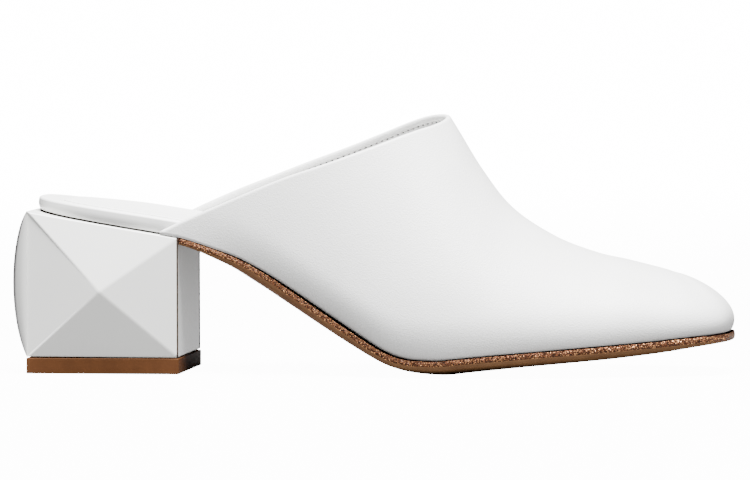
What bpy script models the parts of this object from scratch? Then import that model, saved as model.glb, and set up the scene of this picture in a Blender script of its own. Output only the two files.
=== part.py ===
"""Heeled mule for the right foot: a closed upper with a soft square toe, a leather sole
and a block heel.

X runs from heel to toe, Y from the outer side of the foot to the inner side, and Z up from the floor.
The pieces are modelled with X at 0 on the back of the seat. The last step stands the shoe on the origin.
"""

import math

import bmesh
import bpy
from mathutils import Vector

# Driving sizes, in metres
LAST_LENGTH = 0.2361  # back of the seat to the tip of the toe, along the floor
SEAT_WIDTH = 0.0506  # across the heel seat, and so across the heel block
BALL_WIDTH = 0.0800  # across the ball of the foot, at the sole's edge
BALL_AT = 0.1395  # back of the seat to where the forefoot stands
HEEL_LENGTH = 0.0515  # back of the seat to the breast of the heel
SEAT_BACK_HEIGHT = 0.0546  # top of the heel block at its back
SEAT_FRONT_HEIGHT = 0.0458  # top of the heel block at its breast
TOE_SPRING = 0.0085  # rise of the sole's edge from ball to toe

LIFT_THICKNESS = 0.0053  # the top lift under the heel block
LIFT_PROUD = 0.0002  # the lift stands out this far past the block
LIFT_ROUND = 0.0006
HEEL_FACET_RISE = 0.0065  # height of the four-sided point on each side of the heel
HEEL_BACK_BULGE = 0.0079  # how far the back swells past the seat
HEEL_ROUND = 0.0005

SOLE_EDGE_WAIST = 0.0020  # thickness of the sole's upright edge in the waist
SOLE_EDGE_TOE = 0.0025
SOLE_BELLY = 0.0038  # how far the sole's rounded underside hangs below its edge, at the ball
SOLE_FLAT_DEPTH = 0.0004  # worn flat off the belly where the forefoot stands
LAST_CROWN = 0.0020  # how far the last's bottom bulges down between its edges
WAIST_RUN = 0.0250  # length over which the flat seat turns into the rounded bottom

FOOTBED_SEAT = 0.0050  # thickness of the wrapped footbed, bare at the heel
FOOTBED_DISH = 0.0004  # the middle of its top lies this much lower
FOOTBED_BACK_MARGIN = 0.0006  # heel seat left bare behind it
ARCH_SUPPORT = 0.0015  # its inner side rises this much under the arch
FOOTBED_ROUND = 0.0012  # on its rim
BARE_SEAT = 0.55  # share of the way to the upper's tips where the footbed keeps the heel's full width
SOCK_THICKNESS = 0.0006
SOCK_MARGIN = 0.0018  # footbed left bare beside the sock
SOCK_BACK_MARGIN = 0.0100  # footbed left bare behind the sock

UPPER_WALL = 0.0018  # leather and lining together
FEATHER_INSET = 0.0010  # the upper turns in this far inside the sole's edge
WALL_SWELL = 0.0012  # and swells this far outside it
TUCK_HEIGHT = 0.0140  # height over which the upper turns in
INSTEP_RISE = 0.0790  # crest of the upper above the sole's edge, at the throat
TOE_BOX_RISE = 0.0200  # crest of the upper above the sole's edge, behind the toe
THROAT_AT = 0.1405  # back of the seat to the collar's highest point
WING_BACK = 0.0445  # back of the seat to the rear tips of the upper
INNER_COLLAR_RISE = 0.0036  # the collar stands this much higher on the inner side
COLLAR_LEAN = 0.0300  # width at the throat over which it gains that height

CLEARANCE = 0.0003  # between pieces that meet

# One row for each section of the last, from the back of the seat to the tip of the toe. Past the last row
# the sections fan back along the other side, and behind the first row too.
# centre_x and edge_x are shares of LAST_LENGTH. centre_y, edge_y and bulge are shares of the width there.
# tuck is a share of the upper's turn-in, and rise of the crest's height.
# crest runs from 0, the height of the toe box, to 1, the height of the instep. crown is how far the crest's
# curve reaches towards the edge.
COLUMNS = (
    "centre_x", "edge_x", "centre_y", "outer_edge_y", "inner_edge_y",
    "tuck", "crest", "rise", "crown", "outer_bulge", "inner_bulge",
)
SECTIONS = (
    (0.089, 0.0003, 0.000, 0.000, 0.000, 0.05, 2.60, 0.34, 0.14, 0.010, 0.010),
    (0.091, 0.006, 0.000, -0.210, 0.210, 0.05, 2.60, 0.34, 0.14, 0.010, 0.010),
    (0.097, 0.029, 0.000, -0.376, 0.376, 0.05, 2.55, 0.34, 0.14, 0.010, 0.010),
    (0.109, 0.068, 0.000, -0.470, 0.470, 0.05, 2.50, 0.34, 0.14, 0.010, 0.010),
    (0.127, 0.127, 0.000, -0.498, 0.497, 0.05, 2.42, 0.34, 0.14, 0.010, 0.010),
    (0.178, 0.178, 0.000, -0.500, 0.499, 0.06, 2.28, 0.34, 0.14, 0.010, 0.010),
    (0.237, 0.237, 0.000, -0.500, 0.488, 0.20, 2.165, 0.34, 0.14, 0.012, 0.016),
    (0.304, 0.304, 0.000, -0.482, 0.436, 0.70, 2.012, 0.34, 0.14, 0.014, 0.040),
    (0.380, 0.380, 0.000, -0.464, 0.384, 1.20, 1.963, 0.35, 0.14, 0.014, 0.056),
    (0.456, 0.456, 0.000, -0.465, 0.374, 1.45, 1.690, 0.36, 0.16, 0.020, 0.056),
    (0.530, 0.530, 0.006, -0.481, 0.405, 1.40, 1.417, 0.37, 0.22, 0.028, 0.044),
    (0.594, 0.594, 0.010, -0.500, 0.452, 1.15, 1.032, 0.40, 0.32, 0.026, 0.036),
    (0.640, 0.640, 0.016, -0.502, 0.480, 1.00, 0.711, 0.42, 0.40, 0.025, 0.031),
    (0.684, 0.684, 0.022, -0.490, 0.497, 1.00, 0.471, 0.43, 0.45, 0.024, 0.028),
    (0.744, 0.744, 0.035, -0.454, 0.500, 1.00, 0.290, 0.43, 0.50, 0.022, 0.024),
    (0.803, 0.811, 0.047, -0.400, 0.474, 1.00, 0.179, 0.43, 0.54, 0.020, 0.022),
    (0.845, 0.869, 0.055, -0.345, 0.435, 1.00, 0.127, 0.43, 0.56, 0.020, 0.020),
    (0.877, 0.917, 0.060, -0.293, 0.390, 1.00, 0.085, 0.42, 0.55, 0.020, 0.020),
    (0.898, 0.955, 0.062, -0.240, 0.342, 1.00, 0.056, 0.41, 0.53, 0.024, 0.024),
    (0.911, 0.982, 0.062, -0.174, 0.280, 1.00, 0.035, 0.40, 0.51, 0.026, 0.026),
    (0.917, 0.996, 0.062, -0.090, 0.198, 1.00, 0.026, 0.39, 0.50, 0.026, 0.026),
    (0.919, 1.000, 0.062, 0.056, 0.056, 1.00, 0.023, 0.38, 0.50, 0.026, 0.026),
)
LAST_STATION = len(SECTIONS) - 1

# The sole's edge seen from the side: share of the way along, and share of the height.
ARCH_LINE = (
    (0.00, 1.000),
    (0.05, 0.970),
    (0.13, 0.911),
    (0.23, 0.831),
    (0.33, 0.717),
    (0.44, 0.566),
    (0.55, 0.410),
    (0.65, 0.270),
    (0.75, 0.134),
    (0.81, 0.063),
    (0.86, 0.024),
    (0.91, 0.006),
    (1.00, 0.000),
)
TOE_LINE = (
    (0.00, 0.000),
    (0.03, 0.020),
    (0.08, 0.080),
    (0.16, 0.168),
    (0.29, 0.294),
    (0.45, 0.433),
    (0.61, 0.577),
    (0.75, 0.712),
    (0.85, 0.826),
    (1.00, 0.965),
)

# The footbed's inner side along the shoe: share of LAST_LENGTH, and share of ARCH_SUPPORT.
SUPPORT_LINE = ((0.00, 0.0), (0.06, 0.0), (0.17, 0.9), (0.24, 1.0), (0.40, 0.7), (0.60, 0.0), (1.00, 0.0))

# The sole's underside along the shoe: share of LAST_LENGTH, and share of SOLE_BELLY. Over 1 it stands flat.
BELLY_LINE = (
    (0.218, 0.00),
    (0.241, 0.22),
    (0.285, 0.68),
    (0.320, 1.00),
    (0.360, 1.06),
    (0.450, 0.98),
    (0.500, 0.84),
    (0.530, 0.80),
    (0.555, 0.89),
    (0.575, 0.98),
    (0.590, 1.02),
    (0.605, 1.06),
    (0.630, 1.04),
    (0.700, 0.96),
    (0.780, 0.87),
    (0.840, 0.79),
    (0.920, 0.55),
    (1.000, 0.15),
)

# The collar seen from the side, from the rear tip of the upper to the throat.
COLLAR_LINE = (
    (0.00, 0.000),
    (0.11, 0.134),
    (0.29, 0.338),
    (0.45, 0.508),
    (0.60, 0.640),
    (0.75, 0.781),
    (0.90, 0.930),
    (1.00, 1.006),
)

# The collar's inner side in the same way: share of the way, and share of INNER_COLLAR_RISE.
INNER_COLLAR_LINE = ((0.00, 1.00), (0.20, 1.00), (0.42, 0.84), (0.62, 1.00), (0.82, 1.16), (1.00, 1.00))

# Thickness of the footbed along the shoe, as shares of LAST_LENGTH and FOOTBED_SEAT
FOOTBED_LINE = ((0.00, 0.93), (0.20, 1.10), (0.36, 1.02), (0.60, 0.66), (1.00, 0.60))

# Heights up the upper's wall, from sole to crest, where the mesh has its lines
UP_STEPS = (0.0, 0.018, 0.045, 0.08, 0.125, 0.18, 0.245, 0.32, 0.40, 0.49, 0.59, 0.70, 0.80, 0.90, 1.0)
UPPER_ROWS = 34
SOLE_ROWS = 40
SEAT_ROWS = 13
FOOTBED_ROWS = 33
# Places from the middle of the shoe out to its edge where the flat pieces' meshes have their lines
SOLE_STEPS = (0.0, 0.3, 0.55, 0.75, 0.88, 0.96, 1.0)
FOOTBED_STEPS = (0.0, 0.4, 0.75, 1.0)
SOCK_STEPS = (0.0, 0.5, 1.0)
BACK_CUTS = 9
UPPER_GATHER = 1.1  # draws the upper's rows together towards the toe
PROBE = 0.01  # a small step in stations, for the outline's direction
CREST_PROBE = 0.2  # a wider one for the crest, whose rows lie close together at the toe
SEAT_STATION = 4  # the row where the seat's straight sides start
PAST_THROAT = 1.5  # stations past the throat where every line of the upper has met the collar
HALVINGS = 40
SMOOTH_BEND = math.radians(35)  # bends gentler than this are shaded smooth
WELD = 1e-6  # points nearer than this are one


def smooth_step(value):
    """Rises from 0 to 1 with level ends."""
    t = min(max(value, 0.0), 1.0)
    return t * t * (3 - 2 * t)


def line_through(points, x, level=()):
    """The smooth curve through a table of (x, y). level names the points where it runs level."""
    count = len(points)
    i = 0
    while i < count - 2 and x > points[i + 1][0]:
        i += 1
    slopes = []
    for k in (i, i + 1):
        (x0, y0), (x1, y1) = points[max(k - 1, 0)], points[min(k + 1, count - 1)]
        slopes.append(0.0 if k in level else (y1 - y0) / (x1 - x0))
    (x0, y0), (x1, y1) = points[i], points[i + 1]
    span = x1 - x0
    t = (x - x0) / span
    start = (1 + 2 * t) * (1 - t) ** 2 * y0 + t * (1 - t) ** 2 * span * slopes[0]
    end = t * t * (3 - 2 * t) * y1 + t * t * (t - 1) * span * slopes[1]
    return start + end


def cell(column, index, side):
    """A table entry. Past either end the rows run back along the other side of the shoe."""
    if index < 0:
        index, side = -index, -side
    if index > LAST_STATION:
        index, side = 2 * LAST_STATION - index, -side
    if column not in COLUMNS:
        column = ("outer_" if side < 0 else "inner_") + column
    return SECTIONS[index][COLUMNS.index(column)]


def along(column, station, side=1):
    """The smooth curve through a column of the table, at any station between its rows."""
    index = math.floor(station)
    t = station - index
    a, b, c, d = (cell(column, index + k, side) for k in (-1, 0, 1, 2))
    return b + 0.5 * t * (c - a + t * (2 * a - 5 * b + 4 * c - d + t * (3 * (b - c) + d - a)))


def find_station(wanted, low, high):
    """The station where wanted(station) turns from positive to negative."""
    for _ in range(HALVINGS):
        middle = (low + high) / 2
        low, high = (middle, high) if wanted(middle) > 0 else (low, middle)
    return (low + high) / 2


def width_at(x):
    """The width that the table's shares are taken of, from the seat's to the ball's."""
    return SEAT_WIDTH + (BALL_WIDTH - SEAT_WIDTH) * smooth_step((x - HEEL_LENGTH) / (BALL_AT - HEEL_LENGTH))


def waist(x):
    """How far the bottom has gone from flat, over the heel, to its full roundness."""
    return smooth_step((x - HEEL_LENGTH) / WAIST_RUN)


def ball_height():
    """Height of the sole's edge at the ball, where the belly's worn flat meets the floor."""
    return sole_edge(BALL_AT) + SOLE_BELLY - SOLE_FLAT_DEPTH


def sole_edge(x):
    """Thickness of the sole's upright edge."""
    growth = smooth_step((x - HEEL_LENGTH) / (LAST_LENGTH - HEEL_LENGTH))
    return SOLE_EDGE_WAIST + (SOLE_EDGE_TOE - SOLE_EDGE_WAIST) * growth


def belly(x):
    """How far the underside's middle hangs below the sole's edge."""
    return SOLE_BELLY * max(line_through(BELLY_LINE, x / LAST_LENGTH), 0.0)


def feather(x):
    """Height of the line where the upper meets the sole: seat, arch, ball and toe spring."""
    if x <= HEEL_LENGTH:
        return SEAT_BACK_HEIGHT + (SEAT_FRONT_HEIGHT - SEAT_BACK_HEIGHT) * x / HEEL_LENGTH
    if x <= BALL_AT:
        share = line_through(ARCH_LINE, (x - HEEL_LENGTH) / (BALL_AT - HEEL_LENGTH), (len(ARCH_LINE) - 1,))
        return ball_height() + (SEAT_FRONT_HEIGHT - ball_height()) * share
    share = line_through(TOE_LINE, (x - BALL_AT) / (LAST_LENGTH - BALL_AT), (0,))
    return ball_height() + TOE_SPRING * share


def upright(x, thickness):
    """A thickness square to the sole's slope, measured straight up."""
    step = PROBE * LAST_LENGTH
    slope = (feather(x + step / 2) - feather(x - step / 2)) / step
    return thickness * math.hypot(1, slope)


def edge(station, side, inset=0.0):
    """A point on the sole's outline, seen from above, moved in by inset. side is -1 outside and 1 inside."""

    def outline(s):
        x = along("edge_x", s, side) * LAST_LENGTH
        return Vector((x, along("edge_y", s, side) * width_at(x)))

    run = (outline(station + PROBE) - outline(station - PROBE)).normalized()
    inward = Vector((-run.y, run.x)) * -side
    return outline(station) + inward * inset, inward


def centre(station):
    """The middle of a section, seen from above."""
    x = along("centre_x", station) * LAST_LENGTH
    return Vector((x, along("centre_y", station) * width_at(x)))


def ground(station, across, inset):
    """A point of the flat outline, from across -1 on its outer edge to 1 on its inner edge.

    The second value is how near it lies to the sole's edge, from 0 in the middle to 1.
    """
    side = -1 if across < 0 else 1
    middle = centre(station)
    rim, _ = edge(station, side, inset)
    sole_rim, _ = edge(station, side)
    point = middle.lerp(rim, abs(across))
    return point, min((point - middle).length / (sole_rim - middle).length, 1.0)


def last_bottom(station, point, nearness):
    """Height of the last's bottom, which the sole meets from below and the footbed from above."""
    crown = LAST_CROWN * waist(point.x) * (1 - nearness**2)
    return feather(point.x) - upright(point.x, crown)


def footbed_top(station, point, nearness):
    """Height of the surface that the foot stands on, without the sock."""
    thickness = FOOTBED_SEAT * line_through(FOOTBED_LINE, point.x / LAST_LENGTH)
    dish = FOOTBED_DISH * (1 - nearness**2)
    support = ARCH_SUPPORT * line_through(SUPPORT_LINE, point.x / LAST_LENGTH)
    rise = support * nearness**2 if point.y > centre(station).y else 0.0
    return feather(point.x) + upright(point.x, CLEARANCE + thickness - dish + rise)


def upper_inset(station):
    """How far the upper's outer face stands inside the sole's edge where they meet."""
    return FEATHER_INSET * along("tuck", station)


def footbed_inset(station):
    """How far the footbed stands inside the sole's edge: it narrows where the upper wraps it."""
    wrapped = smooth_step((centre(station).x - BARE_SEAT * WING_BACK) / ((1 - BARE_SEAT) * WING_BACK))
    behind = 1 - smooth_step(station / SEAT_STATION)
    return upper_inset(station) + CLEARANCE + UPPER_WALL * wrapped + FOOTBED_BACK_MARGIN * behind


def crest(station):
    """A point on the upper's crest. Behind the throat it is the last's own cone, above the collar."""
    middle = centre(station)
    rise = TOE_BOX_RISE + (INSTEP_RISE - TOE_BOX_RISE) * along("crest", station)
    return Vector((middle.x, middle.y, feather(middle.x) + rise))


def upper_face(station, across):
    """A point on the upper's outer face, from across -1 at the outer edge over the crest at 0 to 1."""
    side = -1 if across < 0 else 1
    up = 1 - abs(across)
    tuck = along("tuck", station)
    foot, inward = edge(station, side, -WALL_SWELL * tuck)
    base = feather(foot.x) + upright(foot.x, CLEARANCE)
    top = crest(station)
    before = crest(station - CREST_PROBE)
    after = crest(min(station + CREST_PROBE, LAST_STATION))
    slope = (after.z - before.z) / (after.x - before.x)
    bulge = along("bulge", station, side) * width_at(foot.x)
    crown = along("crown", station)
    reach = (foot - top.xy) * crown
    corners = (
        foot.to_3d() + Vector((0, 0, base)),
        (foot - inward * bulge).to_3d() + Vector((0, 0, base + (top.z - base) * along("rise", station))),
        top + Vector((reach.x, reach.y, slope * reach.x)),
        top,
    )
    weights = ((1 - up) ** 3, 3 * up * (1 - up) ** 2, 3 * up * up * (1 - up), up**3)
    point = sum((corner * weight for corner, weight in zip(corners, weights)), Vector((0, 0, 0)))
    below = max(1 - (point.z - base) / TUCK_HEIGHT, 0.0)
    return point + (inward * (FEATHER_INSET + WALL_SWELL) * tuck * below**2).to_3d()


def throat_station():
    return find_station(lambda s: THROAT_AT - crest(s).x, SEAT_STATION, LAST_STATION)


def collar_height(x, y):
    """Height of the collar's edge over a place on the floor."""
    start = feather(WING_BACK) + upright(WING_BACK, CLEARANCE)
    end = crest(throat_station()).z - INNER_COLLAR_RISE / 2
    share = (x - WING_BACK) / (THROAT_AT - WING_BACK)
    lean = smooth_step(0.5 + (y - crest(throat_station()).y) / COLLAR_LEAN)
    rise = INNER_COLLAR_RISE * line_through(INNER_COLLAR_LINE, share)
    return start + (end - start) * line_through(COLLAR_LINE, share) + rise * lean


def collar_station(across):
    """The station where the collar crosses one of the upper's lengthwise lines."""

    def above(station):
        point = upper_face(station, across)
        return point.z - collar_height(point.x, point.y)

    return find_station(above, SEAT_STATION, throat_station() + PAST_THROAT)


def material(name, colour, roughness):
    finish = bpy.data.materials.new(name)
    finish.use_nodes = True
    shader = finish.node_tree.nodes["Principled BSDF"]
    shader.inputs["Base Color"].default_value = (*colour, 1.0)
    shader.inputs["Roughness"].default_value = roughness
    return finish


def add_piece(name, shape, finish, holder):
    """Makes an object of a bmesh, smooth over its gentle bends, held by the shoe's empty."""
    bmesh.ops.recalc_face_normals(shape, faces=shape.faces)
    mesh = bpy.data.meshes.new(name)
    shape.to_mesh(mesh)
    shape.free()
    mesh.materials.append(finish)
    mesh.shade_smooth()
    mesh.set_sharp_from_angle(angle=SMOOTH_BEND)
    piece = bpy.data.objects.new(name, mesh)
    bpy.data.collections["heeled_mule"].objects.link(piece)
    piece.parent = holder
    return piece


def add_bevel(piece, width, segments=2):
    bevel = piece.modifiers.new("rounded edges", "BEVEL")
    bevel.width = width
    bevel.segments = segments
    bevel.limit_method = "ANGLE"
    bevel.angle_limit = SMOOTH_BEND


def grid_faces(shape, rows):
    """Skins a grid of points, a list of rows, and returns its vertices."""
    made = [[shape.verts.new(point) for point in row] for row in rows]
    for near, far in zip(made, made[1:]):
        for k in range(len(near) - 1):
            shape.faces.new((near[k], near[k + 1], far[k + 1], far[k]))
    return made


def mirrored_steps(steps):
    """Steps from 0 to 1 as places across the shoe, from -1 to 1."""
    return [-step for step in reversed(steps)] + [step for step in steps if step > 0]


def slab(name, rows, steps, inset, low, high, finish, holder):
    """A flat piece between two surfaces over the sole's outline, closed round its edge.

    rows are its stations. inset(station) is how far its edge stands inside the sole's.
    low and high give the surfaces' heights at (station, point, nearness).
    """
    shape = bmesh.new()
    places = mirrored_steps(steps)
    faces = []
    for height in (low, high):
        points = []
        for station in rows:
            row = []
            for across in places:
                point, nearness = ground(station, across, inset(station))
                row.append((point.x, point.y, height(station, point, nearness)))
            points.append(row)
        faces.append(grid_faces(shape, points))
    bottom, top = faces
    for side in (0, -1):
        for k in range(len(rows) - 1):
            shape.faces.new((bottom[k][side], bottom[k + 1][side], top[k + 1][side], top[k][side]))
    if rows[0] > 0:
        for k in range(len(places) - 1):
            shape.faces.new((bottom[0][k], bottom[0][k + 1], top[0][k + 1], top[0][k]))
    bmesh.ops.remove_doubles(shape, verts=shape.verts, dist=WELD)
    bmesh.ops.dissolve_degenerate(shape, edges=shape.edges, dist=WELD)
    return add_piece(name, shape, finish, holder)


def spread(first, last, count, gather=1.0):
    """Stations from first to last. gather above 1 draws them towards the last."""
    return [last - (last - first) * (1 - k / count) ** gather for k in range(count + 1)]


def breast_station():
    return find_station(lambda s: HEEL_LENGTH + CLEARANCE - centre(s).x, SEAT_STATION, LAST_STATION)


def footbed_rows():
    """The stations of the flat pieces on the sole, with one where the seat ends."""
    seat_end = breast_station()
    return spread(0, seat_end, SEAT_ROWS) + spread(seat_end, LAST_STATION, FOOTBED_ROWS)[1:]


def make_outsole(finish, holder):
    """Leather sole: an upright edge, a rounded belly below it, and a flat where it stands."""

    def belly_face(station, point, nearness):
        hang = belly(point.x) * math.sqrt(1 - nearness**2)
        return max(feather(point.x) - upright(point.x, sole_edge(point.x) + hang), 0.0)

    rows = spread(breast_station(), LAST_STATION, SOLE_ROWS)
    return slab("outsole", rows, SOLE_STEPS, lambda s: 0.0, belly_face, last_bottom, finish, holder)


def make_footbed(finish, holder):
    """Insole wrapped in leather: bare at the heel, and inside the upper from the wings forward."""

    def under(station, point, nearness):
        return last_bottom(station, point, nearness) + upright(point.x, CLEARANCE)

    piece = slab("footbed", footbed_rows(), FOOTBED_STEPS, footbed_inset, under, footbed_top, finish, holder)
    add_bevel(piece, FOOTBED_ROUND)
    return piece


def make_sock(finish, holder):
    """Thin lining glued on the footbed, with a round end short of the heel."""

    def inset(station):
        past_back = smooth_step(station / SEAT_STATION)
        return footbed_inset(station) + SOCK_BACK_MARGIN * (1 - past_back) + SOCK_MARGIN * past_back

    def lower(station, point, nearness):
        return footbed_top(station, point, nearness) + upright(point.x, CLEARANCE)

    def higher(station, point, nearness):
        return lower(station, point, nearness) + upright(point.x, SOCK_THICKNESS)

    return slab("sock_lining", footbed_rows(), SOCK_STEPS, inset, lower, higher, finish, holder)


def make_upper(finish, holder):
    """One leather wall over the last, open at the collar and underneath."""
    places = mirrored_steps([1 - up for up in reversed(UP_STEPS)])
    columns = []
    for across in places:
        stations = spread(collar_station(across), LAST_STATION, UPPER_ROWS, UPPER_GATHER)
        columns.append([upper_face(station, across) for station in stations])
    shape = bmesh.new()
    grid_faces(shape, columns)
    bmesh.ops.remove_doubles(shape, verts=shape.verts, dist=WELD)
    piece = add_piece("upper", shape, finish, holder)
    wall = piece.modifiers.new("wall", "SOLIDIFY")
    wall.thickness = UPPER_WALL
    wall.offset = -1
    wall.use_even_offset = True
    return piece


def make_heel_block(finish, holder):
    """Block heel: a flat breast, a four-sided point on each side and a swelling back."""
    bottom = LIFT_THICKNESS + CLEARANCE
    shape = bmesh.new()
    bmesh.ops.create_cube(shape, size=1)
    for corner in shape.verts:
        front, high = corner.co.x > 0, corner.co.z > 0
        corner.co.x = HEEL_LENGTH if front else 0.0
        corner.co.y *= SEAT_WIDTH
        corner.co.z = feather(corner.co.x) if high else bottom
    shape.normal_update()
    sides = [face for face in shape.faces if abs(face.normal.y) > 0.99]
    bmesh.ops.poke(shape, faces=sides, offset=HEEL_FACET_RISE, center_mode="MEAN")
    back = min(shape.faces, key=lambda face: face.calc_center_median().x)
    bmesh.ops.subdivide_edges(shape, edges=back.edges[:], cuts=BACK_CUTS, use_grid_fill=True)
    for corner in shape.verts:
        if abs(corner.co.x) > WELD:
            continue
        turn = math.pi / 2 * corner.co.y / (SEAT_WIDTH / 2)
        middle = (SEAT_BACK_HEIGHT + bottom) / 2
        half = (SEAT_BACK_HEIGHT - bottom) / 2
        rise = math.pi / 2 * (corner.co.z - middle) / half
        corner.co.x = -HEEL_BACK_BULGE * math.cos(turn) * math.cos(rise)
        corner.co.y = SEAT_WIDTH / 2 * math.sin(turn)
        corner.co.z = middle + half * math.sin(rise)
    piece = add_piece("heel_block", shape, finish, holder)
    add_bevel(piece, HEEL_ROUND)
    return piece


def make_top_lift(finish, holder):
    """Flat wearing piece under the heel."""
    shape = bmesh.new()
    bmesh.ops.create_cube(shape, size=1)
    size = (HEEL_LENGTH + 2 * LIFT_PROUD, SEAT_WIDTH + 2 * LIFT_PROUD, LIFT_THICKNESS)
    bmesh.ops.scale(shape, vec=size, verts=shape.verts)
    bmesh.ops.translate(shape, vec=(HEEL_LENGTH / 2, 0, LIFT_THICKNESS / 2), verts=shape.verts)
    piece = add_piece("top_lift", shape, finish, holder)
    add_bevel(piece, LIFT_ROUND)
    return piece


def stand_on_origin(holder, pieces):
    """Moves the shoe so that the middle of its footprint box is the origin."""
    bpy.context.view_layer.update()
    graph = bpy.context.evaluated_depsgraph_get()
    points = []
    for piece in pieces:
        shown = piece.evaluated_get(graph)
        mesh = shown.to_mesh()
        points += [shown.matrix_world @ vertex.co for vertex in mesh.vertices]
        shown.to_mesh_clear()
    for axis in (0, 1):
        values = [point[axis] for point in points]
        holder.location[axis] = -(min(values) + max(values)) / 2


def main():
    for obj in list(bpy.data.objects):
        bpy.data.objects.remove(obj)
    collection = bpy.data.collections.new("heeled_mule")
    bpy.context.scene.collection.children.link(collection)
    holder = bpy.data.objects.new("shoe", None)
    collection.objects.link(holder)

    upper_leather = material("upper_leather", (0.80, 0.80, 0.78), 0.45)
    footbed_leather = material("footbed_leather", (0.82, 0.82, 0.81), 0.50)
    sock_leather = material("sock_leather", (0.82, 0.82, 0.81), 0.50)
    sole_leather = material("sole_leather", (0.22, 0.11, 0.05), 0.55)
    heel_lacquer = material("heel_lacquer", (0.72, 0.72, 0.69), 0.28)
    lift_rubber = material("lift_rubber", (0.14, 0.062, 0.027), 0.50)

    pieces = [
        make_outsole(sole_leather, holder),
        make_top_lift(lift_rubber, holder),
        make_heel_block(heel_lacquer, holder),
        make_footbed(footbed_leather, holder),
        make_sock(sock_leather, holder),
        make_upper(upper_leather, holder),
    ]
    stand_on_origin(holder, pieces)


main()
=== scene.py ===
"""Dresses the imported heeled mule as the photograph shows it: smooth white leather over a faceted block heel.

Lengths are in metres. The shoe's own shapes are worked out as in the part's source, with X at 0 on the back
of the seat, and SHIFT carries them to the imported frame.
"""

import math

import bmesh
import bpy
from mathutils import Matrix, Vector


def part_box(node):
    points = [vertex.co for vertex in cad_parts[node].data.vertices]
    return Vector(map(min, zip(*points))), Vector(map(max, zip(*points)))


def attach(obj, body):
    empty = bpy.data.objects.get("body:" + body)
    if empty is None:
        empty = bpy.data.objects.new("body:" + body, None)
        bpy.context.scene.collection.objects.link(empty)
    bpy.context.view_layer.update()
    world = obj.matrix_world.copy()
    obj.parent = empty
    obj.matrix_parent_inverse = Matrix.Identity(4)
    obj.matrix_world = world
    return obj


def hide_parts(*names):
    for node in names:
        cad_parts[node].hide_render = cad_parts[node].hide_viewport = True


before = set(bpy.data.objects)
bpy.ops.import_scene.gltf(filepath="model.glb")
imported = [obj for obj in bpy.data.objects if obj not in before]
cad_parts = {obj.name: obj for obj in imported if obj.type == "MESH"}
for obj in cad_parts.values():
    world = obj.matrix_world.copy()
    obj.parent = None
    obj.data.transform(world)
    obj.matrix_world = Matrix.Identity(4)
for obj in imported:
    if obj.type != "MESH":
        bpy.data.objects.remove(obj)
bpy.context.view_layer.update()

# Driving sizes, in metres
LAST_LENGTH = 0.2361  # back of the seat to the tip of the toe, along the floor
SEAT_WIDTH = 0.0506  # across the heel seat, and so across the heel block
BALL_WIDTH = 0.0800  # across the ball of the foot, at the sole's edge
BALL_AT = 0.1395  # back of the seat to where the forefoot stands
HEEL_LENGTH = 0.0515  # back of the seat to the breast of the heel
SEAT_BACK_HEIGHT = 0.0546  # top of the heel block at its back
SEAT_FRONT_HEIGHT = 0.0458  # top of the heel block at its breast
TOE_SPRING = 0.0085  # rise of the sole's edge from ball to toe

LIFT_THICKNESS = 0.0053  # the top lift under the heel block
LIFT_PROUD = 0.0002  # the lift stands out this far past the block
HEEL_FACET_RISE = 0.0065  # height of the four-sided point on each side of the heel
HEEL_BACK_BULGE = 0.0079  # how far the back swells past the seat

SOLE_EDGE_WAIST = 0.0020  # thickness of the sole's upright edge in the waist
SOLE_EDGE_TOE = 0.0025
SOLE_BELLY = 0.0038  # how far the sole's rounded underside hangs below its edge, at the ball
SOLE_FLAT_DEPTH = 0.0004  # worn flat off the belly where the forefoot stands
LAST_CROWN = 0.0020  # how far the last's bottom bulges down between its edges
WAIST_RUN = 0.0250  # length over which the flat seat turns into the rounded bottom

FOOTBED_SEAT = 0.0050  # thickness of the wrapped footbed, bare at the heel
FOOTBED_DISH = 0.0004  # the middle of its top lies this much lower
FOOTBED_BACK_MARGIN = 0.0006  # heel seat left bare behind it
ARCH_SUPPORT = 0.0015  # its inner side rises this much under the arch
FOOTBED_ROUND = 0.0012  # on its rim
BARE_SEAT = 0.55  # share of the way to the upper's tips where the footbed keeps the heel's full width
SOCK_MARGIN = 0.0018  # footbed left bare beside the sock
SOCK_BACK_MARGIN = 0.0100  # footbed left bare behind the sock

UPPER_WALL = 0.0018  # leather and lining together
FEATHER_INSET = 0.0010  # the upper turns in this far inside the sole's edge
WALL_SWELL = 0.0012  # and swells this far outside it
TUCK_HEIGHT = 0.0140  # height over which the upper turns in
INSTEP_RISE = 0.0790  # crest of the upper above the sole's edge, at the throat
TOE_BOX_RISE = 0.0200  # crest of the upper above the sole's edge, behind the toe
THROAT_AT = 0.1405  # back of the seat to the collar's highest point
WING_BACK = 0.0445  # back of the seat to the rear tips of the upper
INNER_COLLAR_RISE = 0.0036  # the collar stands this much higher on the inner side
COLLAR_LEAN = 0.0300  # width at the throat over which it gains that height

CLEARANCE = 0.0003  # between pieces that meet

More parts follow.
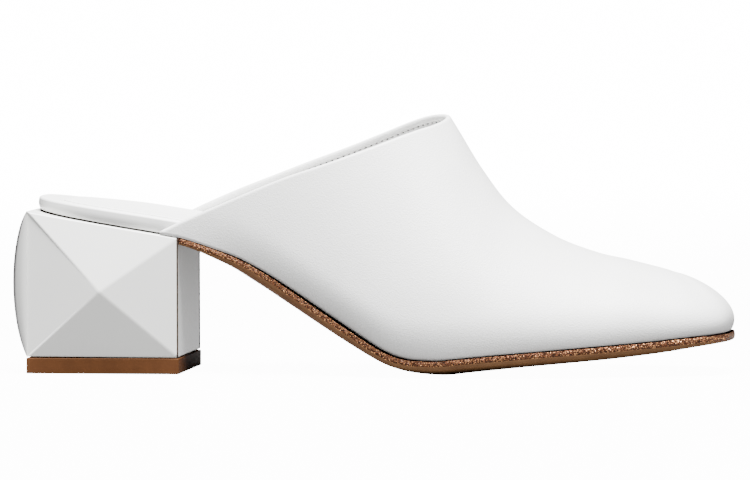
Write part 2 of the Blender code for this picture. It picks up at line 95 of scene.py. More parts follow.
# One row for each section of the last, from the back of the seat to the tip of the toe. Past the last row
# the sections fan back along the other side, and behind the first row too.
# centre_x and edge_x are shares of LAST_LENGTH. centre_y, edge_y and bulge are shares of the width there.
# tuck is a share of the upper's turn-in, and rise of the crest's height.
# crest runs from 0, the height of the toe box, to 1, the height of the instep. crown is how far the crest's
# curve reaches towards the edge.
COLUMNS = (
    "centre_x", "edge_x", "centre_y", "outer_edge_y", "inner_edge_y",
    "tuck", "crest", "rise", "crown", "outer_bulge", "inner_bulge",
)
SECTIONS = (
    (0.089, 0.0003, 0.000, 0.000, 0.000, 0.05, 2.60, 0.34, 0.14, 0.010, 0.010),
    (0.091, 0.006, 0.000, -0.210, 0.210, 0.05, 2.60, 0.34, 0.14, 0.010, 0.010),
    (0.097, 0.029, 0.000, -0.376, 0.376, 0.05, 2.55, 0.34, 0.14, 0.010, 0.010),
    (0.109, 0.068, 0.000, -0.470, 0.470, 0.05, 2.50, 0.34, 0.14, 0.010, 0.010),
    (0.127, 0.127, 0.000, -0.498, 0.497, 0.05, 2.42, 0.34, 0.14, 0.010, 0.010),
    (0.178, 0.178, 0.000, -0.500, 0.499, 0.06, 2.28, 0.34, 0.14, 0.010, 0.010),
    (0.237, 0.237, 0.000, -0.500, 0.488, 0.20, 2.165, 0.34, 0.14, 0.012, 0.016),
    (0.304, 0.304, 0.000, -0.482, 0.436, 0.70, 2.012, 0.34, 0.14, 0.014, 0.040),
    (0.380, 0.380, 0.000, -0.464, 0.384, 1.20, 1.963, 0.35, 0.14, 0.014, 0.056),
    (0.456, 0.456, 0.000, -0.465, 0.374, 1.45, 1.690, 0.36, 0.16, 0.020, 0.056),
    (0.530, 0.530, 0.006, -0.481, 0.405, 1.40, 1.417, 0.37, 0.22, 0.028, 0.044),
    (0.594, 0.594, 0.010, -0.500, 0.452, 1.15, 1.032, 0.40, 0.32, 0.026, 0.036),
    (0.640, 0.640, 0.016, -0.502, 0.480, 1.00, 0.711, 0.42, 0.40, 0.025, 0.031),
    (0.684, 0.684, 0.022, -0.490, 0.497, 1.00, 0.471, 0.43, 0.45, 0.024, 0.028),
    (0.744, 0.744, 0.035, -0.454, 0.500, 1.00, 0.290, 0.43, 0.50, 0.022, 0.024),
    (0.803, 0.811, 0.047, -0.400, 0.474, 1.00, 0.179, 0.43, 0.54, 0.020, 0.022),
    (0.845, 0.869, 0.055, -0.345, 0.435, 1.00, 0.127, 0.43, 0.56, 0.020, 0.020),
    (0.877, 0.917, 0.060, -0.293, 0.390, 1.00, 0.085, 0.42, 0.55, 0.020, 0.020),
    (0.898, 0.955, 0.062, -0.240, 0.342, 1.00, 0.056, 0.41, 0.53, 0.024, 0.024),
    (0.911, 0.982, 0.062, -0.174, 0.280, 1.00, 0.035, 0.40, 0.51, 0.026, 0.026),
    (0.917, 0.996, 0.062, -0.090, 0.198, 1.00, 0.026, 0.39, 0.50, 0.026, 0.026),
    (0.919, 1.000, 0.062, 0.056, 0.056, 1.00, 0.023, 0.38, 0.50, 0.026, 0.026),
)
LAST_STATION = len(SECTIONS) - 1

# The sole's edge seen from the side: share of the way along, and share of the height.
ARCH_LINE = (
    (0.00, 1.000),
    (0.05, 0.970),
    (0.13, 0.911),
    (0.23, 0.831),
    (0.33, 0.717),
    (0.44, 0.566),
    (0.55, 0.410),
    (0.65, 0.270),
    (0.75, 0.134),
    (0.81, 0.063),
    (0.86, 0.024),
    (0.91, 0.006),
    (1.00, 0.000),
)
TOE_LINE = (
    (0.00, 0.000),
    (0.03, 0.020),
    (0.08, 0.080),
    (0.16, 0.168),
    (0.29, 0.294),
    (0.45, 0.433),
    (0.61, 0.577),
    (0.75, 0.712),
    (0.85, 0.826),
    (1.00, 0.965),
)

# The footbed's inner side along the shoe: share of LAST_LENGTH, and share of ARCH_SUPPORT.
SUPPORT_LINE = ((0.00, 0.0), (0.06, 0.0), (0.17, 0.9), (0.24, 1.0), (0.40, 0.7), (0.60, 0.0), (1.00, 0.0))

# The sole's underside along the shoe: share of LAST_LENGTH, and share of SOLE_BELLY. Over 1 it stands flat.
BELLY_LINE = (
    (0.218, 0.00),
    (0.241, 0.22),
    (0.285, 0.68),
    (0.320, 1.00),
    (0.360, 1.06),
    (0.450, 0.98),
    (0.500, 0.84),
    (0.530, 0.80),
    (0.555, 0.89),
    (0.575, 0.98),
    (0.590, 1.02),
    (0.605, 1.06),
    (0.630, 1.04),
    (0.700, 0.96),
    (0.780, 0.87),
    (0.840, 0.79),
    (0.920, 0.55),
    (1.000, 0.15),
)

# The collar seen from the side, from the rear tip of the upper to the throat.
COLLAR_LINE = (
    (0.00, 0.000),
    (0.11, 0.134),
    (0.29, 0.338),
    (0.45, 0.508),
    (0.60, 0.640),
    (0.75, 0.781),
    (0.90, 0.930),
    (1.00, 1.006),
)

# The collar's inner side in the same way: share of the way, and share of INNER_COLLAR_RISE.
INNER_COLLAR_LINE = ((0.00, 1.00), (0.20, 1.00), (0.42, 0.84), (0.62, 1.00), (0.82, 1.16), (1.00, 1.00))

# Thickness of the footbed along the shoe, as shares of LAST_LENGTH and FOOTBED_SEAT
FOOTBED_LINE = ((0.00, 0.93), (0.20, 1.10), (0.36, 1.02), (0.60, 0.66), (1.00, 0.60))

# Where the photograph was taken from
CAMERA_AZIMUTH = math.radians(7.18)
CAMERA_ELEVATION = math.radians(2.63)
CAMERA_ROLL = math.radians(-0.11)
CAMERA_DISTANCE = 2.400
CAMERA_TARGET = (0.1150, 0.0, 0.04427)
PIXELS_PER_METRE = 2960  # at the target
IMAGE_WIDTH = 750
SENSOR_WIDTH = 36  # millimetres, as Blender's lens is

# Meshes
UPPER_LINES = 56  # lengthwise on each side, from the sole to the crest
UPPER_ROWS = 96  # across, from the facing to the toe
UPPER_SAMPLES = 240  # along each line, to measure it with
LINE_GATHER = 1.25  # draws the upper's lines towards the sole
ROW_GATHER = 1.15  # draws its rows towards the toe
SAMPLE_GATHER = 1.1  # draws its samples towards the toe
LEAST_SLANT = 0.4  # sine of the sharpest angle between collar and line that the facing's rows allow for
FLAT_ROWS = 150  # of the outsole, the footbed and the sock, from heel to toe
SOLE_STEPS = 16  # from the middle of the outsole to its edge
FOOTBED_STEPS = 8  # the same of the footbed and the sock
RIM_STEPS = 6  # round a rim
ROUND_STEPS = 3  # across a rounded edge
BACK_CUTS = 23  # across the heel's back, each way
BOTTOM, WALL, RIM, TOP, FOOT = range(5)  # marks for the points of a loop, FOOT for the wall's first row

# Fine forms of the meshes
RIDGE_ROUND = 0.0005  # on the heel's ridges
RIDGE_BEND = math.radians(9)  # edges of the heel that bend more are rounded
LOOKS_ALONG = 0.98  # a face looks along an axis when its normal's share of it is over this
CORNER_LINE_LOOKS = (0.2, 0.95)  # the shares of the side's direction in the normals of the rounded corners along the breast, which are coloured near-black
PAINTED_REFLECTION_WIDTH = 0.0034  # the breast's far edge is painted black this far in, a painted reflection
LIFT_CORNER = 0.0003  # round on the lift's edges
SOLE_SIDE = (0.24, 0.42, 0.6, 0.8, 1.0)  # rows up the sole's edge, the first where its glitter starts
SOLE_ROUND = 0.0002  # on the top of that edge
SOLE_SWELL = 0.0002  # of its middle
SEAT_SIDE = (0.07, 0.2, 0.4, 0.6, 0.8, 1.0)  # rows up the footbed's wall, the first above its painted shadow
SEAT_SWELL = 0.00025  # of the wall's middle
SEAT_UNDERCUT = 0.0006  # the wall's foot draws in this far
FOOTBED_REACH = 0.0002  # the leather stands out this far past the solid
SOCK_SIDE = (0.5, 1.0)  # rows up the sock's edge
SOCK_EMBED = 0.0003  # the sock starts this far inside the footbed
SOCK_STEP = 0.0005  # and stands this far above it
SOCK_ROUND = 0.00035  # on its rim

# Working out the last
PROBE = 0.01  # stations to each side for the outline's direction, and share of the length for the slope
CREST_PROBE = 0.2  # stations to each side for the crest's slope
SEAT_STATION = 4  # where the round back of the heel seat ends
PAST_THROAT = 1.5  # stations past the throat where the collar's crossing is still looked for
HALVINGS = 40  # of the range in which a station is looked for
WELD = 1e-6  # points nearer than this are one

# The upper's inner face near the collar: distance from its edge, and how far it stands out there, in mm.
# The folded facing ends in a groove for the stitches, and the lining starts behind it.
FACING = (
    (0.60, 0.00),
    (0.95, 0.05),
    (1.35, 0.08),
    (1.65, 0.05),
    (1.85, 0.00),
    (2.00, -0.22),
    (2.15, -0.28),
    (2.30, -0.22),
    (2.50, 0.00),
    (3.20, 0.08),
    (4.50, 0.07),
    (6.40, 0.03),
    (8.00, 0.00),
)
STITCH_ROW = 6  # the groove's deepest row in that table
STITCH_PITCH = 0.0021
STITCH_LENGTH = 0.0014
STITCH_RADIUS = 0.00018
THREAD_RISE = 0.5  # share of its radius by which the thread's middle stands out of the groove
HOLE_RADIUS = 0.00036
HOLE_SINK = 0.1  # share of its radius by which a needle hole's middle lies behind the groove's surface
MM = 0.001

# The studio
WORLD_GLOW = 0.11
PAPER_TONE = 0.15
PAPER_GLOW = {"From Min": 0.3, "From Max": 1.8, "To Min": 13.0, "To Max": 16.0}  # brighter far from the shoe
FLOOR_SIZE = 40
KEY_PLACE = (0.08, -0.30, 1.25)
KEY_AIM = (0, 0, 0.05)
KEY_SIZE = (0.8, 0.7)
KEY_POWER = 150
FAR_ENOUGH = 200  # the camera sees nothing past this


def smooth_step(value):
    """Rises from 0 to 1 with level ends."""
    t = min(max(value, 0.0), 1.0)
    return t * t * (3 - 2 * t)


def line_through(points, x, level=()):
    """The smooth curve through a table of (x, y). level names the points where it runs level."""
    count = len(points)
    i = 0
    while i < count - 2 and x > points[i + 1][0]:
        i += 1
    slopes = []
    for k in (i, i + 1):
        (x0, y0), (x1, y1) = points[max(k - 1, 0)], points[min(k + 1, count - 1)]
        slopes.append(0.0 if k in level else (y1 - y0) / (x1 - x0))
    (x0, y0), (x1, y1) = points[i], points[i + 1]
    span = x1 - x0
    t = (x - x0) / span
    start = (1 + 2 * t) * (1 - t) ** 2 * y0 + t * (1 - t) ** 2 * span * slopes[0]
    end = t * t * (3 - 2 * t) * y1 + t * t * (t - 1) * span * slopes[1]
    return start + end


def cell(column, index, side):
    """A table entry. Past either end the rows run back along the other side of the shoe."""
    if index < 0:
        index, side = -index, -side
    if index > LAST_STATION:
        index, side = 2 * LAST_STATION - index, -side
    if column not in COLUMNS:
        column = ("outer_" if side < 0 else "inner_") + column
    return SECTIONS[index][COLUMNS.index(column)]


def along(column, station, side=1):
    """The smooth curve through a column of the table, at any station between its rows."""
    index = math.floor(station)
    t = station - index
    a, b, c, d = (cell(column, index + k, side) for k in (-1, 0, 1, 2))
    return b + 0.5 * t * (c - a + t * (2 * a - 5 * b + 4 * c - d + t * (3 * (b - c) + d - a)))


def find_station(wanted, low, high):
    """The station where wanted(station) turns from positive to negative."""
    for _ in range(HALVINGS):
        middle = (low + high) / 2
        low, high = (middle, high) if wanted(middle) > 0 else (low, middle)
    return (low + high) / 2


def width_at(x):
    """The width that the table's shares are taken of, from the seat's to the ball's."""
    return SEAT_WIDTH + (BALL_WIDTH - SEAT_WIDTH) * smooth_step((x - HEEL_LENGTH) / (BALL_AT - HEEL_LENGTH))


def waist(x):
    """How far the bottom has gone from flat, over the heel, to its full roundness."""
    return smooth_step((x - HEEL_LENGTH) / WAIST_RUN)


def ball_height():
    """Height of the sole's edge at the ball, where the belly's worn flat meets the floor."""
    return sole_edge(BALL_AT) + SOLE_BELLY - SOLE_FLAT_DEPTH


def sole_edge(x):
    """Thickness of the sole's upright edge."""
    growth = smooth_step((x - HEEL_LENGTH) / (LAST_LENGTH - HEEL_LENGTH))
    return SOLE_EDGE_WAIST + (SOLE_EDGE_TOE - SOLE_EDGE_WAIST) * growth


def belly(x):
    """How far the underside's middle hangs below the sole's edge."""
    return SOLE_BELLY * max(line_through(BELLY_LINE, x / LAST_LENGTH), 0.0)


def feather(x):
    """Height of the line where the upper meets the sole: seat, arch, ball and toe spring."""
    if x <= HEEL_LENGTH:
        return SEAT_BACK_HEIGHT + (SEAT_FRONT_HEIGHT - SEAT_BACK_HEIGHT) * x / HEEL_LENGTH
    if x <= BALL_AT:
        share = line_through(ARCH_LINE, (x - HEEL_LENGTH) / (BALL_AT - HEEL_LENGTH), (len(ARCH_LINE) - 1,))
        return ball_height() + (SEAT_FRONT_HEIGHT - ball_height()) * share
    share = line_through(TOE_LINE, (x - BALL_AT) / (LAST_LENGTH - BALL_AT), (0,))
    return ball_height() + TOE_SPRING * share


def upright(x, thickness):
    """A thickness square to the sole's slope, measured straight up."""
    step = PROBE * LAST_LENGTH
    slope = (feather(x + step / 2) - feather(x - step / 2)) / step
    return thickness * math.hypot(1, slope)


def edge(station, side, inset=0.0):
    """A point on the sole's outline, seen from above, moved in by inset. side is -1 outside and 1 inside."""

    def outline(s):
        x = along("edge_x", s, side) * LAST_LENGTH
        return Vector((x, along("edge_y", s, side) * width_at(x)))

    run = (outline(station + PROBE) - outline(station - PROBE)).normalized()
    inward = Vector((-run.y, run.x)) * -side
    return outline(station) + inward * inset, inward


def centre(station):
    """The middle of a section, seen from above."""
    x = along("centre_x", station) * LAST_LENGTH
    return Vector((x, along("centre_y", station) * width_at(x)))


def ground(station, across, inset):
    """A point of the flat outline, from across -1 on its outer edge to 1 on its inner edge.

    The second value is how near it lies to the sole's edge, from 0 in the middle to 1.
    """
    side = -1 if across < 0 else 1
    middle = centre(station)
    rim, _ = edge(station, side, inset)
    sole_rim, _ = edge(station, side)
    point = middle.lerp(rim, abs(across))
    return point, min((point - middle).length / (sole_rim - middle).length, 1.0)


def last_bottom(station, point, nearness):
    """Height of the last's bottom, which the sole meets from below and the footbed from above."""
    crown = LAST_CROWN * waist(point.x) * (1 - nearness**2)
    return feather(point.x) - upright(point.x, crown)


def footbed_top(station, point, nearness):
    """Height of the surface that the foot stands on, without the sock."""
    thickness = FOOTBED_SEAT * line_through(FOOTBED_LINE, point.x / LAST_LENGTH)
    dish = FOOTBED_DISH * (1 - nearness**2)
    support = ARCH_SUPPORT * line_through(SUPPORT_LINE, point.x / LAST_LENGTH)
    rise = support * nearness**2 if point.y > centre(station).y else 0.0
    return feather(point.x) + upright(point.x, CLEARANCE + thickness - dish + rise)


def upper_inset(station):
    """How far the upper's outer face stands inside the sole's edge where they meet."""
    return FEATHER_INSET * along("tuck", station)


def footbed_inset(station):
    """How far the footbed stands inside the sole's edge: it narrows where the upper wraps it."""
    wrapped = smooth_step((centre(station).x - BARE_SEAT * WING_BACK) / ((1 - BARE_SEAT) * WING_BACK))
    behind = 1 - smooth_step(station / SEAT_STATION)
    return upper_inset(station) + CLEARANCE + UPPER_WALL * wrapped + FOOTBED_BACK_MARGIN * behind


def crest(station):
    """A point on the upper's crest. Behind the throat it is the last's own cone, above the collar."""
    middle = centre(station)
    rise = TOE_BOX_RISE + (INSTEP_RISE - TOE_BOX_RISE) * along("crest", station)
    return Vector((middle.x, middle.y, feather(middle.x) + rise))


def upper_face(station, across):
    """A point on the upper's outer face, from across -1 at the outer edge over the crest at 0 to 1."""
    side = -1 if across < 0 else 1
    up = 1 - abs(across)
    tuck = along("tuck", station)
    foot, inward = edge(station, side, -WALL_SWELL * tuck)
    base = feather(foot.x) + upright(foot.x, CLEARANCE)
    top = crest(station)
    before = crest(station - CREST_PROBE)
    after = crest(min(station + CREST_PROBE, LAST_STATION))
    slope = (after.z - before.z) / (after.x - before.x)
    bulge = along("bulge", station, side) * width_at(foot.x)
    crown = along("crown", station)
    reach = (foot - top.xy) * crown
    corners = (
        foot.to_3d() + Vector((0, 0, base)),
        (foot - inward * bulge).to_3d() + Vector((0, 0, base + (top.z - base) * along("rise", station))),
        top + Vector((reach.x, reach.y, slope * reach.x)),
        top,
    )
    weights = ((1 - up) ** 3, 3 * up * (1 - up) ** 2, 3 * up * up * (1 - up), up**3)
    point = sum((corner * weight for corner, weight in zip(corners, weights)), Vector((0, 0, 0)))
    below = max(1 - (point.z - base) / TUCK_HEIGHT, 0.0)
    return point + (inward * (FEATHER_INSET + WALL_SWELL) * tuck * below**2).to_3d()


def throat_station():
    """The station where the crest passes under the collar's highest point."""
    return find_station(lambda s: THROAT_AT - crest(s).x, SEAT_STATION, LAST_STATION)


def collar_height(x, y):
    """Height of the collar's edge over a place on the floor."""
    start = feather(WING_BACK) + upright(WING_BACK, CLEARANCE)
    end = crest(throat_station()).z - INNER_COLLAR_RISE / 2
    share = (x - WING_BACK) / (THROAT_AT - WING_BACK)
    lean = smooth_step(0.5 + (y - crest(throat_station()).y) / COLLAR_LEAN)
    rise = INNER_COLLAR_RISE * line_through(INNER_COLLAR_LINE, share)
    return start + (end - start) * line_through(COLLAR_LINE, share) + rise * lean


def collar_station(across):
    """The station where the collar crosses one of the upper's lengthwise lines."""

    def above(station):
        point = upper_face(station, across)
        return point.z - collar_height(point.x, point.y)

    return find_station(above, SEAT_STATION, throat_station() + PAST_THROAT)


def make_shift():
    """What carries the shoe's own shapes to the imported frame, taken from the lift's back edge and middle."""
    low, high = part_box("top_lift")
    return Vector((low.x + LIFT_PROUD, (low.y + high.y) / 2, 0.0))


SHIFT = make_shift()


def new_finish(name, colour, roughness, **more):
    """A Principled material. more sets further sockets by name, with _ for a space."""
    finish = bpy.data.materials.new(name)
    finish.use_nodes = True
    shader = finish.node_tree.nodes["Principled BSDF"]
    shader.inputs["Base Color"].default_value = (*colour, 1.0)
    shader.inputs["Roughness"].default_value = roughness
    for socket, value in more.items():
        shader.inputs[socket.replace("_", " ")].default_value = value
    return finish


def add_node(finish, kind, **values):
    """A shader node. values sets its inputs by name, and its other settings."""
    node = finish.node_tree.nodes.new(kind)
    for name, value in values.items():
        if name in node.inputs:
            node.inputs[name].default_value = value
        else:
            setattr(node, name, value)
    return node


def join(finish, out, into):
    finish.node_tree.links.new(out, into)


def add_ramp(finish, stops):
    """A colour ramp through (position, colour) stops."""
    ramp = add_node(finish, "ShaderNodeValToRGB")
    made = ramp.color_ramp.elements
    for element, (position, colour) in zip(made, (stops[0], stops[-1])):
        element.position = position
        element.color = (*colour, 1.0)
    for position, colour in stops[1:-1]:
        made.new(position).color = (*colour, 1.0)
    return ramp


def add_mottle(finish, darker, scale):
    """Lets the colour drift softly between its own and a darker one."""
    shader = finish.node_tree.nodes["Principled BSDF"]
    colour = tuple(shader.inputs["Base Color"].default_value)[:3]
    place = add_node(finish, "ShaderNodeTexCoord")
    noise = add_node(finish, "ShaderNodeTexNoise", Scale=scale, Detail=4.0)
    ramp = add_ramp(finish, ((0.35, darker), (0.65, colour)))
    join(finish, place.outputs["Object"], noise.inputs["Vector"])
    join(finish, noise.outputs["Fac"], ramp.inputs["Fac"])
    join(finish, ramp.outputs["Color"], shader.inputs["Base Color"])


def add_grain(finish, pebble, strength, depth):
    """Raises a fine pebble grain of that size, with a finer one in it."""
    shader = finish.node_tree.nodes["Principled BSDF"]
    place = add_node(finish, "ShaderNodeTexCoord")
    cells = add_node(finish, "ShaderNodeTexVoronoi", Scale=1 / pebble)
    cells.feature = "SMOOTH_F1"
    fine = add_node(finish, "ShaderNodeTexNoise", Scale=3 / pebble, Detail=3.0)
    total = add_node(finish, "ShaderNodeMath")
    total.operation = "ADD"
    bump = add_node(finish, "ShaderNodeBump", Strength=strength, Distance=depth)
    join(finish, place.outputs["Object"], cells.inputs["Vector"])
    join(finish, place.outputs["Object"], fine.inputs["Vector"])
    join(finish, cells.outputs["Distance"], total.inputs[0])
    join(finish, fine.outputs["Fac"], total.inputs[1])
    join(finish, total.outputs["Value"], bump.inputs["Height"])
    join(finish, bump.outputs["Normal"], shader.inputs["Normal"])


def add_painted_dark_reflection(finish):
    """Paints a reflection into the colour, blackening it where the surface turns out of sight, as gloss beside
    a black studio wall would show.
    """
    shader = finish.node_tree.nodes["Principled BSDF"]
    colour = tuple(shader.inputs["Base Color"].default_value)[:3]
    weight = add_node(finish, "ShaderNodeLayerWeight", Blend=0.5)
    ramp = add_ramp(finish, ((0.72, colour), (0.86, (0.03, 0.03, 0.03))))
    join(finish, weight.outputs["Facing"], ramp.inputs["Fac"])
    join(finish, ramp.outputs["Color"], shader.inputs["Base Color"])


def add_flakes(finish, flake, tones):
    """Covers the finish with flakes of that size, each with its own tone and tilt."""
    shader = finish.node_tree.nodes["Principled BSDF"]
    place = add_node(finish, "ShaderNodeTexCoord")
    cells = add_node(finish, "ShaderNodeTexVoronoi", Scale=1 / flake)
    ramp = add_ramp(finish, tones)
    split = add_node(finish, "ShaderNodeSeparateColor")
    off_centre = add_node(finish, "ShaderNodeVectorMath")
    off_centre.operation = "SUBTRACT"
    turn = add_node(finish, "ShaderNodeVectorMath")
    turn.operation = "SUBTRACT"
    turn.inputs[1].default_value = (0.5, 0.5, 0.5)
    tilt = add_node(finish, "ShaderNodeVectorMath")
    tilt.operation = "DOT_PRODUCT"
    bump = add_node(finish, "ShaderNodeBump", Strength=1.0, Distance=1.0)
    join(finish, place.outputs["Object"], cells.inputs["Vector"])
    join(finish, cells.outputs["Color"], split.inputs["Color"])
    join(finish, split.outputs["Red"], ramp.inputs["Fac"])
    join(finish, ramp.outputs["Color"], shader.inputs["Base Color"])
    join(finish, place.outputs["Object"], off_centre.inputs[0])
    join(finish, cells.outputs["Position"], off_centre.inputs[1])
    join(finish, cells.outputs["Color"], turn.inputs[0])
    join(finish, off_centre.outputs["Vector"], tilt.inputs[0])
    join(finish, turn.outputs["Vector"], tilt.inputs[1])
    join(finish, tilt.outputs["Value"], bump.inputs["Height"])
    join(finish, bump.outputs["Normal"], shader.inputs["Normal"])


def upper_leather():
    finish = new_finish("upper_leather", (0.80, 0.80, 0.79), 0.42, Coat_Weight=0.08, Coat_Roughness=0.35)
    add_mottle(finish, (0.775, 0.775, 0.765), scale=60)
    add_grain(finish, pebble=0.00045, strength=0.5, depth=0.00014)
    return finish


def lining_leather():
    finish = new_finish("lining_leather", (0.82, 0.82, 0.81), 0.55)
    add_mottle(finish, (0.80, 0.80, 0.79), scale=80)
    add_grain(finish, pebble=0.0007, strength=0.1, depth=0.00006)
    return finish


def seat_leather():
    finish = new_finish("seat_leather", (0.82, 0.82, 0.81), 0.45, Coat_Weight=0.05, Coat_Roughness=0.4)
    add_mottle(finish, (0.80, 0.80, 0.79), scale=70)
    add_grain(finish, pebble=0.0008, strength=0.1, depth=0.00006)
    return finish


# The footbed's wall: the seat leather darkened with painted shade, for the shade the wall stands in
def seat_wall_painted_shade():
    finish = new_finish("seat_wall_painted_shade", (0.60, 0.60, 0.59), 0.35, Coat_Weight=0.2, Coat_Roughness=0.3)
    add_mottle(finish, (0.585, 0.585, 0.575), scale=70)
    add_grain(finish, pebble=0.0008, strength=0.1, depth=0.00006)
    return finish


def white_thread():
    finish = new_finish("white_thread", (0.78, 0.78, 0.77), 0.6)
    add_mottle(finish, (0.70, 0.70, 0.69), scale=900)
    return finish


# The needle holes' shade, painted onto small grains sunk in the groove
def painted_hole_shade():
    finish = new_finish("painted_hole_shade", (0.02, 0.02, 0.02), 0.9)
    add_mottle(finish, (0.015, 0.015, 0.015), scale=900)
    return finish


def side_lacquer():
    finish = new_finish("white_lacquer", (0.76, 0.76, 0.74), 0.4, Coat_Weight=0.15, Coat_Roughness=0.3)
    add_mottle(finish, (0.745, 0.745, 0.725), scale=50)
    add_grain(finish, pebble=0.0006, strength=0.06, depth=0.00004)
    return finish


# The heel's white lacquer with a painted reflection blackening its edges where they turn away
def back_lacquer_painted_reflection():
    finish = new_finish("back_lacquer_painted_reflection", (0.76, 0.76, 0.74), 0.4, Coat_Weight=0.15, Coat_Roughness=0.3)
    add_grain(finish, pebble=0.0006, strength=0.06, depth=0.00004)
    add_painted_dark_reflection(finish)
    return finish


# The heel's lacquer made glossier, its colour darkened with painted shade for the breast's shaded side
def breast_lacquer_painted_shade():
    finish = new_finish("breast_lacquer_painted_shade", (0.66, 0.67, 0.66), 0.22, Coat_Weight=0.4, Coat_Roughness=0.1)
    add_mottle(finish, (0.645, 0.655, 0.645), scale=50)
    return finish


# A near-black line along the rounded corners of the breast
def corner_dark_line():
    finish = new_finish("corner_dark_line", (0.06, 0.035, 0.025), 0.6)
    add_mottle(finish, (0.03, 0.018, 0.012), scale=700)
    return finish


# Painted shadow for the gaps under the upper and under the footbed, and painted black reflection along the
# heel breast's far edge
def painted_shade_line():
    finish = new_finish("painted_shade_line", (0.012, 0.007, 0.005), 0.95, Specular_IOR_Level=0.0)
    add_mottle(finish, (0.006, 0.004, 0.003), scale=700)
    return finish


def tan_sole():
    finish = new_finish("tan_sole", (0.2, 0.097, 0.041), 0.6, Specular_IOR_Level=0.2)
    add_mottle(finish, (0.15, 0.069, 0.029), scale=140)
    add_grain(finish, pebble=0.0009, strength=0.15, depth=0.00006)
    return finish


def copper_glitter():
    finish = new_finish("copper_glitter", (0.1, 0.04, 0.015), 0.4, Metallic=0.75)
    tones = (
        (0.0, (0.006, 0.002, 0.001)),
        (0.4, (0.045, 0.014, 0.005)),
        (0.8, (0.15, 0.05, 0.018)),
        (1.0, (0.75, 0.38, 0.17)),
    )
    add_flakes(finish, 0.00024, tones)
    return finish


def brown_lift():
    finish = new_finish("brown_lift", (0.085, 0.032, 0.0105), 0.6, Specular_IOR_Level=0.12)
    add_mottle(finish, (0.075, 0.028, 0.0092), scale=300)
    add_grain(finish, pebble=0.0005, strength=0.12, depth=0.00004)
    return finish


def add_piece(name, shape, finishes, nodes=(), slot=""):
    """Makes an object of a bmesh in the shoe's own frame, riding on the part."""
    mesh = bpy.data.meshes.new(name)
    bmesh.ops.translate(shape, vec=SHIFT, verts=shape.verts)
    for face in shape.faces:
        face.smooth = True
    shape.to_mesh(mesh)
    shape.free()
    for finish in finishes:
        mesh.materials.append(finish)
    piece = bpy.data.objects.new(name, mesh)
    bpy.context.scene.collection.objects.link(piece)
    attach(piece, "root")
    if nodes:
        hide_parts(*nodes)
    return piece


def spread(first, last, count, gather=1.0):
    """Stations from first to last. gather above 1 draws them towards the last."""
    return [last - (last - first) * (1 - k / count) ** gather for k in range(count + 1)]


def breast_station():
    """The station where the outsole starts, just past the heel's breast."""
    return find_station(lambda s: HEEL_LENGTH + CLEARANCE - centre(s).x, SEAT_STATION, LAST_STATION)


def facing_stations(line, slant):
    """The stations on one lengthwise line of the upper: FACING's rows behind the collar, then on to the toe.

    slant lengthens the distances where the line meets the collar at a slant.
    """
    stations = [station for station, _ in line]
    lengths = [0.0]
    for (_, before), (_, after) in zip(line, line[1:]):
        lengths.append(lengths[-1] + (after - before).length)
    made = []
    k = 0
    for distance, _ in FACING:
        wanted = distance * MM * slant
        while k < len(lengths) - 2 and lengths[k + 1] < wanted:
            k += 1
        share = (wanted - lengths[k]) / (lengths[k + 1] - lengths[k])
        made.append(stations[k] + (stations[k + 1] - stations[k]) * share)
    return made + spread(made[-1], LAST_STATION, UPPER_ROWS, ROW_GATHER)[1:]


def upper_places():
    """Places across the upper, from its outer edge over the crest to its inner edge."""
    ups = [(k / UPPER_LINES) ** LINE_GATHER for k in range(UPPER_LINES + 1)]
    outer = [up - 1 for up in ups]
    return outer + [1 - up for up in reversed(ups[:-1])]


def upper_lines():
    """The upper's outer face: for each place across, its points from the collar to the tip of the toe."""
    places = upper_places()
    samples = []
    for across in places:
        stations = spread(collar_station(across), LAST_STATION, UPPER_SAMPLES, SAMPLE_GATHER)
        samples.append([(station, upper_face(station, across)) for station in stations])
    lines = []
    for j, across in enumerate(places):
        before, after = samples[max(j - 1, 0)], samples[min(j + 1, len(places) - 1)]
        collar = (after[0][1] - before[0][1]).normalized()
        onward = (samples[j][2][1] - samples[j][0][1]).normalized()
        slant = 1 / max(collar.cross(onward).length, LEAST_SLANT)
        stations = facing_stations(samples[j], slant)
        lines.append([upper_face(station, across) for station in stations])
    return lines


def share_tips(shape, lines):
    """Gives each line and its fellow past the crest one vertex at the tip of the toe."""
    count = len(lines)
    for j in range(count // 2 + 1, count):
        shape.verts.remove(lines[j][-1])
        lines[j][-1] = lines[count - 1 - j][-1]


def skin_lines(shape, lines):
    """Skins a list of lines of vertices. Returns each face with its place along the lines."""
    faces = []
    for near, far in zip(lines, lines[1:]):
        for i in range(len(near) - 1):
            faces.append((i, shape.faces.new((near[i], near[i + 1], far[i + 1], far[i]))))
    return faces


def roll_collar(shape, outer, inside):
    """Rolls the collar over from the outer face to the inner one. Returns its vertices on each line."""
    rims = []
    for j, (line, inner_line) in enumerate(zip(outer, inside)):
        top, under = line[0], inner_line[0]
        middle = (top.co + under.co) / 2
        radius = (top.co - under.co).length / 2
        normal = (top.co - under.co).normalized()
        before, after = outer[max(j - 1, 0)][0].co, outer[min(j + 1, len(outer) - 1)][0].co
        out = (after - before).normalized().cross(normal)
        if out.dot(top.co - line[1].co) < 0:
            out.negate()
        rim = [top]
        for k in range(1, RIM_STEPS):
            turn = math.pi * k / RIM_STEPS
            rim.append(shape.verts.new(middle + (normal * math.cos(turn) + out * math.sin(turn)) * radius))
        rims.append(rim + [under])
    skin_lines(shape, rims)
    return rims


